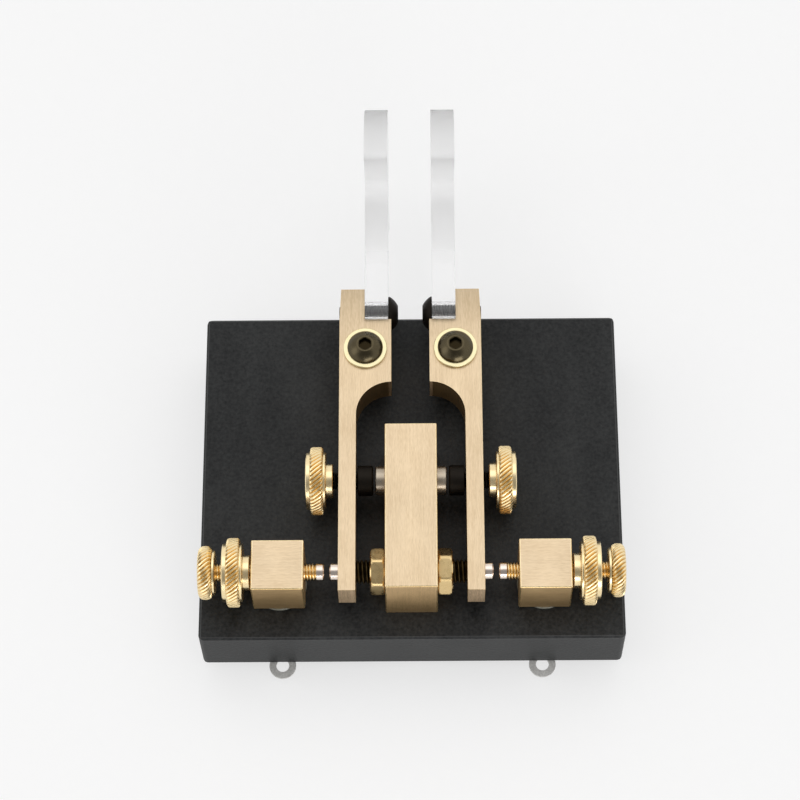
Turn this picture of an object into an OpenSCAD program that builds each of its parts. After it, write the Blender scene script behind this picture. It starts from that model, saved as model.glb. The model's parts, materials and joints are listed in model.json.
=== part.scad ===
// Dual paddle telegraph key: two brass levers on a black base, each closing one contact.
// Origin: centre of the feet on the table. +X right, +Y towards the finger pieces, +Z up.
// The right-hand half is drawn, and the left-hand half is its mirror image. Threaded and
// knurled pieces keep their right-hand thread, so they are turned about Z instead.

/* [Base] */
// Width of the base plate
base_w = 72; // [68:1:100]
// Depth of the base plate
base_d = 60; // [58:1:80]
// Thickness of the base plate
base_t = 12; // [9.5:0.5:20]
// Radius of the base plate's upright corners
base_corner_r = 1; // [0.5:0.1:3]
// Chamfer round the base plate's top and bottom edges
base_chamfer = 0.4; // [0.2:0.1:1]
// Diameter of a rubber foot
foot_d = 8; // [6:0.5:9]
// Height of a rubber foot
foot_h = 3.2; // [3:0.1:8]
// Distance from the base plate's edges to a foot's centre
foot_inset = 5.2; // [5:0.1:6]

/* [Levers] */
// Height of a lever bar
lever_h = 6; // [5:0.1:9]
// Thickness of a lever's rear arm
arm_t = 2.9; // [2.4:0.1:4.5]
// Width of a lever's head
head_w = 8.95; // [8.6:0.05:12]
// Distance from the middle plane to a head's inner face
head_gap = 3.3; // [2.6:0.1:5]
// Length of the head from its pivot back to the arm's fillet
head_back = 6.25; // [5:0.05:8]
// Length of the head from its pivot forward to the notch
head_front = 5.7; // [5:0.05:9]
// Length of the ear that holds the finger piece
ear_l = 5.8; // [5.2:0.1:9]
// Thickness of that ear at the notch
ear_t = 4.35; // [3:0.05:5.5]
// Taper of the ear's outer face over its length
ear_taper = 0.25; // [0:0.05:0.6]
// Distance that the arm reaches behind the contact axis
arm_tail = 4.35; // [3:0.05:6]
// Distance from the base plate's far edge to the pivots
pivot_inset = 10.35; // [8:0.05:14]

/* [Pivots] */
// Diameter of the bush that a lever turns on
journal_d = 5; // [4.4:0.1:6]
// Diameter of the bush's lower flange
bush_flange_d = 7.4; // [6.4:0.1:8.4]
// Outside diameter of the washer under the pivot screw
pivot_washer_d = 7.5; // [6.6:0.1:8.4]
// Thickness of that washer
pivot_washer_t = 0.5; // [0.3:0.1:1]
// Length of the pivot screw under its head
pivot_screw_l = 16; // [14:0.5:18]

/* [Finger pieces] */
// Thickness of the clear plate
finger_t = 4.1; // [3:0.1:5]
// Height of the plate where the lever holds it
stem_h = 8; // [6:0.1:10]
// Length of that stem from the notch to the finger tab
stem_l = 26; // [16:0.1:40]
// Height of the finger tab, which ends in a half circle
tab_h = 27.8; // [18:0.2:32]
// Length of the tab's straight part before the half circle
tab_flat = 1.5; // [1:0.1:12]
// Radius of the tab's two corners beside the stem
tab_corner_r = 1; // [0.3:0.1:1]
// Radius of the hollow corners between stem and tab
tab_fillet_r = 2; // [1:0.1:3]
// Distance from the notch to the finger screw
finger_screw_y = 2.4; // [1.9:0.05:2.6]

/* [Contact posts] */
// Side of a square contact post
post_w = 8.8; // [7.5:0.1:12]
// Height of a contact post
post_h = 9.5; // [8.8:0.1:14]
// Distance from the base plate's near edge to the contact axis
contact_inset = 9.7; // [8.5:0.1:14]
// Height of the contact axis above the base plate
contact_h = 6.2; // [6.1:0.1:7.5]
// Clear distance from a lever's outer face to a post's inner face
post_gap = 5.7; // [4.5:0.1:8]
// Diameter of the insulating washers
washer_d = 9.1; // [8:0.1:10]
// Thickness of the insulating washer under a post
post_washer_t = 0.5; // [0.3:0.1:1]
// Thickness of the insulating washer under the base plate
under_washer_t = 0.6; // [0.3:0.1:0.8]
// Outside diameter of the sleeves that line the base plate's holes
sleeve_d = 5.6; // [4.6:0.1:6.4]
// Length of each of those sleeves
sleeve_l = 4; // [2:0.1:4.4]

/* [Contacts] */
// Diameter of the silver contacts
silver_d = 3; // [2.4:0.1:3.6]
// Height of the contact rivet's head on the lever
rivet_h = 1.45; // [0.6:0.05:2]
// Diameter of the contacts' shanks
silver_shank_d = 1.5; // [1:0.1:1.8]
// Length of the silver tip on the contact screw
tip_l = 1.3; // [0.6:0.1:2]
// Length of the tip's shank inside the screw
tip_shank_l = 1.6; // [1:0.1:3]
// Air gap between the contacts with the lever at rest
contact_gap = 0.95; // [0.5:0.05:1.2]

/* [Thumb nuts] */
// Diameter over the knurled band of a thumb nut
nut_d = 11.6; // [9:0.1:11.8]
// Diameter of the plain rims beside the band
nut_rim_d = 9.8; // [8:0.1:10.6]
// Width of the inner rim
nut_inner_rim = 0.4; // [0.2:0.1:1]
// Width of the knurled band
nut_band_w = 2.25; // [1.5:0.05:4]
// Width of the outer rim
nut_outer_rim = 0.7; // [0.2:0.1:1.2]
// Diameter of the hub
hub_d = 5.9; // [5:0.1:7]
// Length of the hub
hub_l = 1.2; // [0.8:0.1:3]
// Number of knurl ridges round a thumb nut
nut_ridges = 46; // [30:1:60]
// Gap between a lock nut's hub and its post
lock_gap = 0.3; // [0.1:0.05:0.8]

/* [Contact screws] */
// Length of thread that shows between lock nut and end knob
screw_show = 1.25; // [1:0.05:3]
// Diameter over the knurled end knob
knob_d = 9; // [7:0.1:11]
// Width of the end knob's knurled band
knob_band_w = 2.4; // [1.5:0.1:5]
// Width of the end knob's inner rim
knob_rim = 0.45; // [0.2:0.05:1]
// Number of knurl ridges round an end knob
knob_ridges = 36; // [24:1:48]
// Depth of the knurl ridges
ridge_depth = 0.28; // [0.15:0.01:0.4]
// Lean of the knurl ridges from the knob's axis, in degrees
ridge_lean = 40; // [20:1:50]

/* [Centre block] */
// Width of the centre block
block_w = 8.8; // [8:0.1:10]
// Height of the centre block
block_h = 12.5; // [10.5:0.1:16]
// Distance that the block reaches behind the contact axis
block_tail = 5.05; // [4:0.05:8]
// Distance from the contact axis to the magnet axis
magnet_pitch = 16.5; // [14:0.1:18]
// Distance that the block reaches in front of the magnet axis
block_nose = 7.95; // [7:0.05:10]
// Diameter of a magnet
magnet_d = 5; // [4:0.1:5]
// Length of a magnet
magnet_l = 4; // [3:0.1:4.4]
// Distance that a magnet stands out of the block
magnet_show = 1.65; // [0.8:0.05:1.8]

/* [Magnet screws] */
// Air gap between a magnet and its steel screw head
magnet_gap = 0.4; // [0.3:0.05:0.8]
// Height of the steel screw's round head
cap_h = 2.6; // [1.8:0.1:3]
// Diameter of that head
cap_d = 5.2; // [4.5:0.1:5.8]
// Gap between the lever and the thumb nut's hub
nut_gap = 1; // [0.6:0.05:2]

/* [Stops] */
// Diameter of the stop screws
stop_d = 4; // [3:0.5:4.5]
// Distance across the flats of a stop nut
stop_nut_af = 7; // [5.5:0.5:8]
// Thickness of a stop nut
stop_nut_t = 2.5; // [1.8:0.1:2.6]
// Distance from the middle plane to a stop screw's inner end
stop_inner = 0.5; // [0.3:0.1:1.5]

/* [Screws and lugs] */
// Diameter of the small screws' threads
screw_d = 3; // [2.5:0.1:3.2]
// Diameter of a button head
button_d = 6.1; // [5.2:0.1:6.2]
// Height of a button head
button_h = 1.65; // [1.2:0.05:1.65]
// Diameter of the flat ring round a button head's socket
button_flat_d = 2.9; // [2.7:0.1:3.6]
// Distance across the flats of a hexagon socket
socket_af = 2; // [1.5:0.1:2.2]
// Length of thread in a post or block above the base plate
thread_bite = 3.4; // [2:0.1:3.6]
// Length of the centre block's screw thread inside the block
block_bite = 6; // [4:0.1:8]
// Distance from the contact axis to the block's rear screw
block_screw_y = 4.3; // [4:0.1:6]
// Distance between the block's two screws
block_screw_pitch = 17.4; // [16.8:0.1:17.6]
// Thickness of a solder lug
lug_t = 0.4; // [0.3:0.05:0.5]
// Diameter of the lug's screw ring
lug_ring_d = 7; // [6:0.1:8]
// Diameter of the lug's wire ring
lug_eye_d = 4.6; // [3.6:0.1:5]
// Diameter of the hole for the wire
lug_hole_d = 2.2; // [1.6:0.1:2.6]
// Width of the lug's tail
lug_tail_w = 3.2; // [2.4:0.1:3.6]
// Distance between the lug's two holes
lug_l = 10; // [8:0.1:14]

/* [Clearances] */
// Radial clearance of a thread or shank in its hole
thread_fit = 0.05; // [0.03:0.01:0.1]
// Radial clearance of a lever on its bush
pivot_fit = 0.04; // [0.02:0.01:0.08]
// Axial clearance of a lever on each side
pivot_play = 0.04; // [0.02:0.01:0.1]
// Radial clearance of a plain hole round a screw
hole_fit = 0.12; // [0.1:0.01:0.2]
// Clearance round a finger screw's head in the lever's shallow recess
recess_fit = 0.12; // [0.1:0.01:0.2]
// Gap between a lever and its stop at rest
rest_gap = 0.02; // [0.01:0.01:0.05]
// Gap between faces that are glued, pressed or screwed together
seat_gap = 0.01; // [0:0.01:0.05]
// Least gap between a foot and the washer under the post beside it
foot_clear = 0.3; // [0.2:0.1:0.5]

/* [Hidden] */
$fn = 64;

// Colours of the real finishes
brass = "#d8be93";
turned_brass = "#d6aa50";
polished_brass = "#e3d68c";
black_paint = "#1c1c1e";
black_steel = "#26221f";
silver = "#cfc9c2";
nickel = "#b9b4a8";
tin = "#8f8f86";
nylon = "#d8d6c6";
rubber = "#141414";

// Heights
base_top = foot_h + base_t;
axis_z = base_top + contact_h;
lever_z = axis_z - lever_h / 2;
post_z = base_top + post_washer_t;
washer_z = lever_z + lever_h + pivot_play;
pivot_tip_z = washer_z + pivot_washer_t - pivot_screw_l;

// Places along Y
pivot_y = base_d / 2 - pivot_inset;
contact_y = contact_inset - base_d / 2;
notch_y = pivot_y + head_front;
magnet_y = contact_y + magnet_pitch;
block_near_y = contact_y - block_tail;
block_l = block_tail + magnet_pitch + block_nose;
screw_rear_y = contact_y + block_screw_y;

// Places along X, on the right-hand side
outer_x = head_gap + head_w;
arm_x = outer_x - arm_t;
pivot_x = head_gap + head_w / 2;
ear_x = outer_x - ear_t;
post_x = outer_x + post_gap + post_w / 2;
rivet_x = outer_x + rivet_h;
tip_x = rivet_x + contact_gap;
nut_w = nut_inner_rim + nut_band_w + nut_outer_rim;
lock_x = post_x + post_w / 2 + lock_gap + hub_l;
knob_x = lock_x + nut_w + screw_show;
magnet_face_x = block_w / 2 + magnet_show;
cap_x = magnet_face_x + magnet_gap;
magnet_nut_x = outer_x + nut_gap + hub_l;
finger_x = ear_x - seat_gap - finger_t;
finger_hole_y = notch_y + finger_screw_y;

// A foot keeps its inset, unless the washer under its post needs the room
foot_reach = washer_d / 2 + foot_d / 2 + foot_clear;
foot_step = contact_inset - foot_inset;
foot_room = sqrt(max(0, pow(foot_reach, 2) - pow(foot_step, 2)));
foot_x = max(base_w / 2 - foot_inset, post_x + foot_room);
foot_y = base_d / 2 - foot_inset;

// Small shapes that nothing else depends on
block_chamfer = 0.15;
button_rim = 0.22;
socket_depth = 0.95;

// One half of the key: the right-hand side, or its mirror image
module half(side) {
    mirror([side < 0 ? 1 : 0, 0, 0]) children();
}

// Turns local +Z outward along X, at a distance x from the middle plane
module along_axis(side, x, y) {
    translate([side * x, y, axis_z]) rotate([0, side * 90, 0]) children();
}

module rod(d, z0, z1) {
    translate([0, 0, z0]) cylinder(d = d, h = z1 - z0);
}

// Rectangle with corners cut at 45 degrees, centred
module cut_square(w, h, c) {
    polygon([
        [-w / 2 + c, -h / 2], [w / 2 - c, -h / 2], [w / 2, -h / 2 + c], [w / 2, h / 2 - c],
        [w / 2 - c, h / 2], [-w / 2 + c, h / 2], [-w / 2, h / 2 - c], [-w / 2, -h / 2 + c]
    ]);
}

// Block with all its edges chamfered, centred in X and Y, standing on z = 0
module chamfered_block(w, d, h, c) {
    translate([0, 0, h / 2])
        intersection() {
            translate([0, 0, -h / 2]) linear_extrude(h) cut_square(w, d, c);
            rotate([90, 0, 0]) translate([0, 0, -d / 2]) linear_extrude(d) cut_square(w, h, c);
            rotate([90, 0, 90]) translate([0, 0, -w / 2]) linear_extrude(w) cut_square(d, h, c);
        }
}

// Rectangle with round corners, centred
module round_square(w, h, r) {
    square([w - 2 * r, h], center = true);
    square([w, h - 2 * r], center = true);
    for (x = [-1, 1], y = [-1, 1])
        translate([x * (w / 2 - r), y * (h / 2 - r)]) circle(r);
}

module hex_socket(af, depth) {
    translate([0, 0, -depth]) cylinder(d = af / cos(30), h = depth + 1, $fn = 6);
}

// Button-head screw: the head stands on z = 0, the shank points down
module button_screw(length) {
    widths = pow(button_d / 2, 2) - pow(button_flat_d / 2, 2);
    dome_z = (button_h + button_rim - widths / (button_h - button_rim)) / 2;
    dome_r = sqrt(pow(button_d / 2, 2) + pow(button_rim - dome_z, 2));
    difference() {
        union() {
            rod(screw_d, -length, 0.1);
            rotate_extrude()
                intersection() {
                    square([button_d / 2, button_h]);
                    translate([0, dome_z]) circle(dome_r, $fn = 96);
                }
        }
        translate([0, 0, button_h]) hex_socket(socket_af, socket_depth);
    }
}

// Knurled band from z = 0 to w: ridges lean round it, and its edges are rounded over by round_r
module knurled_band(d, w, ridges, round_r) {
    rings = 7;
    around = ridges * 2;
    turn = tan(ridge_lean) * w / (d / 2) * 180 / PI;
    function edge_drop(z) = round_r - sqrt(max(0, pow(round_r, 2) - pow(max(0, round_r - z), 2)));
    function ring_z(i) = w * (1 - cos(180 * i / (rings - 1))) / 2;
    function ridge_r(i, j) =
        d / 2 - edge_drop(min(ring_z(i), w - ring_z(i))) - (j % 2) * ridge_depth;
    skin = [
        for (i = [0 : rings - 1], j = [0 : around - 1])
            let (a = 360 * j / around - turn * ring_z(i) / w)
            [ridge_r(i, j) * cos(a), ridge_r(i, j) * sin(a), ring_z(i)]
    ];
    walls = [
        for (i = [0 : rings - 2], j = [0 : around - 1])
            let (a = i * around + j, b = i * around + (j + 1) % around)
            each [[a, a + around, b], [b, a + around, b + around]]
    ];
    low = rings * around;
    top_ring = low - around;
    ends = [
        for (j = [0 : around - 1])
            let (k = (j + 1) % around)
            each [[low, j, k], [low + 1, top_ring + k, top_ring + j]]
    ];
    polyhedron(concat(skin, [[0, 0, 0], [0, 0, w]]), concat(walls, ends), convexity = 4);
}

// Thumb nut: its body starts at z = 0 and the hub points down
module thumb_nut() {
    difference() {
        union() {
            rod(hub_d, -hub_l, 0.1);
            rod(nut_rim_d, 0, nut_w);
            translate([0, 0, nut_inner_rim])
                knurled_band(nut_d, nut_band_w, nut_ridges, 0.5);
        }
        rod(screw_d + 2 * thread_fit, -hub_l - 1, nut_w + 1);
    }
}

// Solder lug, flat on z = 0 and below it, tail along -Y
module solder_lug() {
    translate([0, 0, -lug_t])
        linear_extrude(lug_t)
            difference() {
                union() {
                    circle(d = lug_ring_d);
                    translate([0, -lug_l]) circle(d = lug_eye_d);
                    translate([-lug_tail_w / 2, -lug_l]) square([lug_tail_w, lug_l]);
                }
                circle(d = screw_d + 2 * hole_fit);
                translate([0, -lug_l]) circle(d = lug_hole_d);
            }
}

// Top-hat washer with its brim on z = 0 and its sleeve pointing down
module sleeved_washer(brim_t) {
    difference() {
        union() {
            rod(washer_d, 0, brim_t);
            rod(sleeve_d, -sleeve_l, brim_t / 2);
        }
        rod(screw_d + 2 * hole_fit, -sleeve_l - 1, brim_t + 1);
    }
}

module base_plate() {
    color(black_paint)
        difference() {
            intersection() {
                translate([0, 0, foot_h])
                    linear_extrude(base_t) round_square(base_w, base_d, base_corner_r);
                translate([0, 0, foot_h]) chamfered_prism(base_w, base_d);
                translate([0, 0, foot_h]) rotate([0, 0, 90]) chamfered_prism(base_d, base_w);
            }
            for (side = [-1, 1]) {
                translate([side * post_x, contact_y, 0])
                    rod(sleeve_d + 2 * hole_fit, foot_h - 1, base_top + 1);
                translate([side * pivot_x, pivot_y, 0])
                    rod(screw_d + 2 * thread_fit, pivot_tip_z - 1, base_top + 1);
            }
            for (y = [screw_rear_y, screw_rear_y + block_screw_pitch])
                translate([0, y, 0])
                    rod(screw_d + 2 * hole_fit, foot_h - 1, base_top + 1);
        }
}

// Prism along Y with the base plate's chamfered section, wide enough for its depth d
module chamfered_prism(w, d) {
    translate([0, 0, base_t / 2])
        rotate([90, 0, 0])
            translate([0, 0, -d / 2])
                linear_extrude(d) cut_square(w, base_t, base_chamfer);
}

module rubber_feet() {
    color(rubber)
        for (x = [-1, 1], y = [-1, 1])
            translate([x * foot_x, y * foot_y, 0]) {
                rod(foot_d, 0.5, foot_h - seat_gap);
                cylinder(d1 = foot_d - 1, d2 = foot_d, h = 0.5);
            }
}

module center_block() {
    color(brass)
        difference() {
            translate([0, block_near_y + block_l / 2, base_top + seat_gap])
                chamfered_block(block_w, block_l, block_h - seat_gap, block_chamfer);
            for (y = [screw_rear_y, screw_rear_y + block_screw_pitch])
                translate([0, y, base_top]) rod(screw_d + 2 * thread_fit, -1, block_bite + 0.5);
            along_axis(1, 0, contact_y) rod(stop_d + 2 * thread_fit, -block_w, block_w);
            for (side = [-1, 1])
                along_axis(side, 0, magnet_y)
                    rod(magnet_d + 2 * thread_fit, magnet_face_x - magnet_l - 0.2, block_w);
        }
}

module center_block_screws() {
    color(black_steel) {
        translate([0, screw_rear_y, foot_h - lug_t - 2 * seat_gap])
            mirror([0, 0, 1]) button_screw(lug_t + base_t + block_bite);
        translate([0, screw_rear_y + block_screw_pitch, foot_h - seat_gap])
            mirror([0, 0, 1]) button_screw(base_t + block_bite);
    }
}

module common_solder_lug() {
    color(tin) translate([0, screw_rear_y, foot_h - seat_gap]) solder_lug();
}

module contact_post(side) {
    color(brass)
        half(side)
            difference() {
                translate([post_x, contact_y, post_z])
                    chamfered_block(post_w, post_w, post_h, block_chamfer);
                along_axis(1, post_x, contact_y) rod(screw_d + 2 * thread_fit, -post_w, post_w);
                translate([post_x, contact_y, post_z])
                    rod(screw_d + 2 * thread_fit, -1, thread_bite + 0.3);
            }
}

// The screw comes from below through lug, washers and base plate into the post
module post_screw(side) {
    head_z = foot_h - under_washer_t - lug_t - 3 * seat_gap;
    color(black_steel)
        half(side)
            translate([post_x, contact_y, head_z])
                mirror([0, 0, 1]) button_screw(post_z + thread_bite - head_z);
}

module post_washer(side) {
    color(nylon)
        half(side)
            translate([post_x, contact_y, base_top + seat_gap])
                sleeved_washer(post_washer_t - 2 * seat_gap);
}

module under_washer(side) {
    color(nylon)
        half(side)
            translate([post_x, contact_y, foot_h - seat_gap])
                mirror([0, 0, 1]) sleeved_washer(under_washer_t);
}

module post_lug(side) {
    color(tin)
        half(side)
            translate([post_x, contact_y, foot_h - under_washer_t - 2 * seat_gap]) solder_lug();
}

module contact_screw(side) {
    inner = tip_x + tip_l + seat_gap;
    round_r = 1;
    color(turned_brass)
        along_axis(side, 0, contact_y)
            difference() {
                union() {
                    rod(screw_d, inner, knob_x + 0.1);
                    rod(knob_d - 1.4, knob_x, knob_x + knob_rim + 0.1);
                    translate([0, 0, knob_x + knob_rim])
                        knurled_band(knob_d, knob_band_w, knob_ridges, round_r);
                }
                rod(silver_shank_d + 2 * thread_fit, inner - 1, inner + tip_shank_l + 0.2);
            }
}

module contact_tip(side) {
    color(silver)
        along_axis(side, 0, contact_y) {
            rod(silver_d, tip_x, tip_x + tip_l);
            rod(silver_shank_d, tip_x + tip_l - 0.1, tip_x + tip_l + tip_shank_l);
        }
}

module lock_nut(side) {
    color(turned_brass) along_axis(side, lock_x, contact_y) thumb_nut();
}

// Outline of the right-hand lever, seen from above
module lever_outline() {
    arm_end_y = contact_y - arm_tail;
    fillet_r = arm_x - head_gap;
    fillet_y = pivot_y - head_back;
    difference() {
        polygon([
            [arm_x, arm_end_y], [outer_x, arm_end_y], [outer_x, notch_y],
            [outer_x - ear_taper, notch_y + ear_l], [ear_x, notch_y + ear_l], [ear_x, notch_y],
            [head_gap, notch_y], [head_gap, fillet_y - fillet_r], [arm_x, fillet_y - fillet_r]
        ]);
        translate([head_gap, fillet_y - fillet_r]) circle(fillet_r, $fn = 96);
    }
}

module lever(side) {
    color(brass)
        half(side)
            difference() {
                translate([0, 0, lever_z]) linear_extrude(lever_h) lever_outline();
                translate([pivot_x, pivot_y, 0])
                    rod(journal_d + 2 * pivot_fit, lever_z - 1, lever_z + lever_h + 1);
                along_axis(1, 0, contact_y)
                    rod(silver_shank_d + 2 * thread_fit, arm_x - 1, outer_x + 1);
                along_axis(1, 0, magnet_y)
                    rod(screw_d + 2 * thread_fit, arm_x - 1, outer_x + 1);
                along_axis(1, 0, finger_hole_y)
                    rod(screw_d + 2 * thread_fit, ear_x - 1, outer_x + 1);
                along_axis(1, 0, finger_hole_y)
                    rod(button_d + 2 * recess_fit, head_gap - 1, finger_x + recess_fit);
            }
}

module lever_contact(side) {
    color(silver)
        along_axis(side, 0, contact_y) {
            rod(silver_d, outer_x + seat_gap, rivet_x);
            rod(silver_shank_d, arm_x, outer_x + 0.1);
        }
}

// Clear plate seen from the side: stem, finger tab and the hollow corners between them
module finger_outline() {
    round_x = stem_l + tab_flat;
    translate([0, -stem_h / 2]) square([round_x, stem_h]);
    translate([stem_l, tab_corner_r - tab_h / 2]) square([tab_flat, tab_h - 2 * tab_corner_r]);
    intersection() {
        translate([stem_l + tab_corner_r, -tab_h / 2]) square([tab_flat + tab_h, tab_h]);
        union() {
            translate([round_x, 0]) circle(tab_h / 2, $fn = 128);
            translate([stem_l, -tab_h / 2]) square([tab_flat, tab_h]);
        }
    }
    for (up = [-1, 1])
        translate([stem_l + tab_corner_r, up * (tab_h / 2 - tab_corner_r)]) circle(tab_corner_r);
    for (up = [-1, 1])
        translate([stem_l - tab_fillet_r, up * (stem_h / 2 + tab_fillet_r)])
            difference() {
                translate([0, -up * tab_fillet_r / 2])
                    square([2 * tab_fillet_r, tab_fillet_r], center = true);
                circle(tab_fillet_r);
                translate([-tab_fillet_r, 0])
                    square([2 * tab_fillet_r, 4 * tab_fillet_r], center = true);
            }
}

module finger_piece(side) {
    color([0.85, 0.86, 0.9, 0.5])
        half(side)
            difference() {
                translate([finger_x, notch_y + seat_gap, axis_z])
                    rotate([90, 0, 90]) linear_extrude(finger_t) finger_outline();
                along_axis(1, 0, finger_hole_y) rod(screw_d + 2 * hole_fit, 0, outer_x);
            }
}

module finger_screw(side) {
    head_x = finger_x - seat_gap;
    color(black_steel)
        half(side)
            translate([head_x, finger_hole_y, axis_z])
                rotate([0, -90, 0]) button_screw(outer_x - head_x + 0.1);
}

module pivot_bush(side) {
    color(polished_brass)
        half(side)
            translate([pivot_x, pivot_y, 0])
                difference() {
                    union() {
                        rod(bush_flange_d, base_top + seat_gap, lever_z - pivot_play);
                        rod(journal_d, base_top + seat_gap, washer_z - seat_gap);
                    }
                    rod(screw_d + 2 * hole_fit, base_top - 1, washer_z + 1);
                }
}

module pivot_washer(side) {
    color(polished_brass)
        half(side)
            translate([pivot_x, pivot_y, washer_z])
                difference() {
                    rod(pivot_washer_d, 0, pivot_washer_t);
                    rod(screw_d + 2 * hole_fit, -1, pivot_washer_t + 1);
                }
}

module pivot_screw(side) {
    color(black_steel)
        half(side)
            translate([pivot_x, pivot_y, washer_z + pivot_washer_t + seat_gap])
                button_screw(pivot_screw_l);
}

module magnet(side) {
    color(nickel)
        along_axis(side, 0, magnet_y) rod(magnet_d, magnet_face_x - magnet_l, magnet_face_x);
}

// Steel screw from the inner side of the lever, its head facing the magnet
module magnet_screw(side) {
    color(black_steel)
        along_axis(side, 0, magnet_y)
            difference() {
                union() {
                    rod(cap_d, cap_x, cap_x + cap_h);
                    rod(screw_d, cap_x + cap_h - 0.1, magnet_nut_x + nut_w - 0.3);
                }
                translate([0, 0, cap_x])
                    mirror([0, 0, 1]) hex_socket(socket_af, 1.3);
            }
}

module magnet_knob(side) {
    color(turned_brass) along_axis(side, magnet_nut_x, magnet_y) thumb_nut();
}

module stop_screw(side) {
    color(black_steel)
        along_axis(side, 0, contact_y)
            difference() {
                rod(stop_d, stop_inner, arm_x - rest_gap);
                translate([0, 0, arm_x - rest_gap]) hex_socket(socket_af, 1.6);
            }
}

// The left nut shows a corner from above, the right one a flat
module stop_nut(side) {
    color(polished_brass)
        along_axis(side, 0, contact_y)
            rotate([0, 0, side < 0 ? 6 : 42])
                difference() {
                    intersection() {
                        translate([0, 0, block_w / 2 + seat_gap])
                            cylinder(d = stop_nut_af / cos(30), h = stop_nut_t, $fn = 6);
                        translate([0, 0, block_w / 2 + seat_gap + stop_nut_t - stop_nut_af / 2 - 0.25])
                            cylinder(d1 = 3 * stop_nut_af, d2 = stop_nut_af / cos(30) - 0.7,
                                     h = stop_nut_af / 2 + 0.25);
                    }
                    rod(stop_d + 2 * thread_fit, 0, block_w);
                }
}

base_plate();
rubber_feet();
center_block();
center_block_screws();
common_solder_lug();
contact_post(-1);  // left_contact_post
contact_post(1);  // right_contact_post
post_screw(-1);  // left_post_screw
post_screw(1);  // right_post_screw
post_washer(-1);  // left_post_washer
post_washer(1);  // right_post_washer
under_washer(-1);  // left_under_washer
under_washer(1);  // right_under_washer
post_lug(-1);  // left_solder_lug
post_lug(1);  // right_solder_lug
contact_screw(-1);  // left_contact_screw
contact_screw(1);  // right_contact_screw
contact_tip(-1);  // left_contact_tip
contact_tip(1);  // right_contact_tip
lock_nut(-1);  // left_lock_nut
lock_nut(1);  // right_lock_nut
lever(-1);  // left_lever
lever(1);  // right_lever
lever_contact(-1);  // left_lever_contact
lever_contact(1);  // right_lever_contact
finger_piece(-1);  // left_finger_piece
finger_piece(1);  // right_finger_piece
finger_screw(-1);  // left_finger_screw
finger_screw(1);  // right_finger_screw
pivot_bush(-1);  // left_pivot_bush
pivot_bush(1);  // right_pivot_bush
pivot_washer(-1);  // left_pivot_washer
pivot_washer(1);  // right_pivot_washer
pivot_screw(-1);  // left_pivot_screw
pivot_screw(1);  // right_pivot_screw
magnet(-1);  // left_magnet
magnet(1);  // right_magnet
magnet_screw(-1);  // left_magnet_screw
magnet_screw(1);  // right_magnet_screw
magnet_knob(-1);  // left_magnet_knob
magnet_knob(1);  // right_magnet_knob
stop_screw(-1);  // left_stop_screw
stop_screw(1);  // right_stop_screw
stop_nut(-1);  // left_stop_nut
stop_nut(1);  // right_stop_nut
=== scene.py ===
"""Looks of the dual paddle telegraph key: every CAD node is replaced by a detailed piece of the same size."""
import json
import math

import bmesh
import bpy
import numpy as np
from mathutils import Matrix, Vector

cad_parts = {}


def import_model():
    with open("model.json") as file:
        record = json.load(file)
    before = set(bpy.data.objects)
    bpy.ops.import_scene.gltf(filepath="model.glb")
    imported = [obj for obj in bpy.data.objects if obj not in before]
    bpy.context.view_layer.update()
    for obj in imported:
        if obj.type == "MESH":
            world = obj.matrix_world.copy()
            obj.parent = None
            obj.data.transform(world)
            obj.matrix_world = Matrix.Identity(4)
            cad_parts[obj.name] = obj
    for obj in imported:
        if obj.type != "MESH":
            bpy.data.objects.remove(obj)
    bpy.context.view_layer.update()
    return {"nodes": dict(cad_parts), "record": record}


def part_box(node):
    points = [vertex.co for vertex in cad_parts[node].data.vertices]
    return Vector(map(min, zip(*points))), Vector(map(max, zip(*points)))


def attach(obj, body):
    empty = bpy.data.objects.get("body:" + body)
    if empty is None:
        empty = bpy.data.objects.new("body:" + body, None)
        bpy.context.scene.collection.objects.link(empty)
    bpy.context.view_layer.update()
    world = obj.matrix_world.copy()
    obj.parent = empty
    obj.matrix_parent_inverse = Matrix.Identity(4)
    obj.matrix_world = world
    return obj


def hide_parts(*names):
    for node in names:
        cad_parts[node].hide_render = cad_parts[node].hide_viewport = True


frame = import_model()
NODES = frame["nodes"]
BODY_OF = {node: body for body, nodes in frame["record"]["behaviour"]["bodies"].items() for node in nodes}
MM = 0.001
SIDES = (("left", -1), ("right", 1))


# Places, from the frame, in millimetres

def middle(node):
    """Centre of a node's box."""
    low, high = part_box(node)
    return (low + high) / 2 / MM


def reach(node):
    """A node's least and greatest distance from the middle plane."""
    low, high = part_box(node)
    return sorted((abs(low.x) / MM, abs(high.x) / MM))


def heights(node):
    """A node's lowest and highest point."""
    low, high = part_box(node)
    return low.z / MM, high.z / MM


AXIS = middle("right_contact_tip")
MAGNET = middle("right_magnet")
PIVOT = middle("right_pivot_washer")
CONTACT_AXIS = (0.0, AXIS.y, AXIS.z)
MAGNET_AXIS = (0.0, MAGNET.y, MAGNET.z)

# Sizes, in millimetres

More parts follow.
